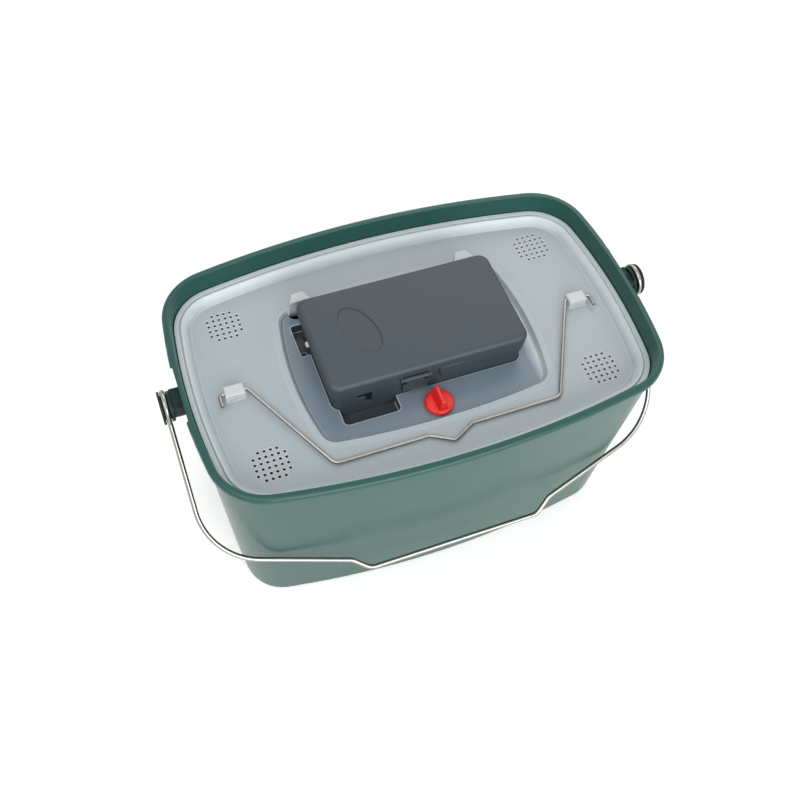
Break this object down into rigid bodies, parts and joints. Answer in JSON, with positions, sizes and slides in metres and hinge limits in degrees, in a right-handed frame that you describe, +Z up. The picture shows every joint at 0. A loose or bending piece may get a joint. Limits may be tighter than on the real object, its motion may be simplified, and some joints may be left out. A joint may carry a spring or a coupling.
{
  "type": "live-bait bucket",
  "caption": "Rectangular tapered bucket with a wire bail and a drop-in vented lid that carries a battery air pump, a folding wire lifting handle and a turn button.",
  "frame": {"origin": "centre of the bucket's flat underside", "axes": "+Z up; +X along the long side; the handles lie towards -Y, the front"},
  "size_m": [0.4146, 0.2529, 0.2135],
  "materials": {
    "green_plastic": "glossy moulded polypropylene",
    "steel_wire": "drawn galvanised wire",
    "clear_plastic": "translucent natural polypropylene",
    "red_plastic": "glossy moulded",
    "natural_plastic": "natural nylon",
    "steel_fittings": "zinc plated",
    "grey_plastic": "fine satin texture",
    "black_plastic": "satin",
    "cell_jacket": "printed jacket, plain",
    "brass_strip": "rolled strip",
    "motor_can": "drawn can",
    "black_rubber": "matt",
    "soft_tube": "soft silicone",
    "lead_insulation": "soft insulation"
  },
  "bodies": {
    "bucket": {"bucket": "green_plastic"},
    "bail": {"bail_handle": "steel_wire"},
    "lid": {"lid": "clear_plastic", "pump_housing": "grey_plastic", "hinge_pins": "steel_fittings", "battery_front": "cell_jacket", "battery_rear": "cell_jacket", "spring_front": "steel_fittings", "spring_rear": "steel_fittings", "contact_plates": "brass_strip", "switch_body": "black_plastic", "motor": "motor_can", "motor_clamp": "steel_fittings", "rocker_pin": "steel_fittings", "diaphragm": "black_rubber", "air_chamber": "natural_plastic", "valve_flaps": "black_rubber", "air_tube": "soft_tube", "outlet_nozzle": "natural_plastic", "mechanism_screws": "steel_fittings", "leads": "lead_insulation"},
    "lid_handle": {"lid_handle": "steel_wire"},
    "turn_button": {"turn_button": "red_plastic", "button_cam": "natural_plastic", "button_screw": "steel_fittings"},
    "pump_cover": {"pump_cover": "grey_plastic", "latch_pin": "steel_fittings"},
    "cover_latch": {"cover_latch": "grey_plastic"},
    "switch_slider": {"switch_slider": "black_plastic"},
    "motor_shaft": {"eccentric": "natural_plastic"},
    "rocker": {"rocker_arm": "natural_plastic", "diaphragm_screw": "steel_fittings"}
  },
  "joints": [
    {"name": "bail_hinge", "type": "hinge", "parent": "bucket", "child": "bail", "pos_m": [0, 0, 0.195], "axis": [-1, 0, 0], "range_deg": [0, 271]},
    {"name": "lid_lift", "type": "slide", "parent": "bucket", "child": "lid", "axis": [0, 0, 1], "range_m": [0, 0.08]},
    {"name": "lid_handle_hinge", "type": "hinge", "parent": "lid", "child": "lid_handle", "pos_m": [0, 0, 0.191], "axis": [-1, 0, 0], "range_deg": [0, 184]},
    {"name": "button_turn", "type": "hinge", "parent": "lid", "child": "turn_button", "pos_m": [0.0015, -0.0576, 0.183], "axis": [0, 0, -1], "range_deg": [0, 90]},
    {"name": "cover_hinge", "type": "hinge", "parent": "lid", "child": "pump_cover", "pos_m": [0.0015, 0.0584, 0.2], "axis": [-1, 0, 0], "range_deg": [0, 100]},
    {"name": "latch_flip", "type": "hinge", "parent": "pump_cover", "child": "cover_latch", "pos_m": [-0.0128, -0.0409, 0.2038], "axis": [-1, 0, 0], "range_deg": [0, 20]},
    {"name": "switch_slide", "type": "slide", "parent": "lid", "child": "switch_slider", "axis": [1, 0, 0], "range_m": [0, 0.004]},
    {"name": "motor_spin", "type": "hinge", "parent": "lid", "child": "motor_shaft", "pos_m": [-0.009, 0.0283, 0.195], "axis": [0, 1, 0], "continuous": true},
    {"name": "rocker_swing", "type": "hinge", "parent": "lid", "child": "rocker", "pos_m": [-0.066, 0.0283, 0.195], "axis": [0, 1, 0], "range_deg": [-1.2, 1.2], "deforming": ["diaphragm"]}
  ]
}
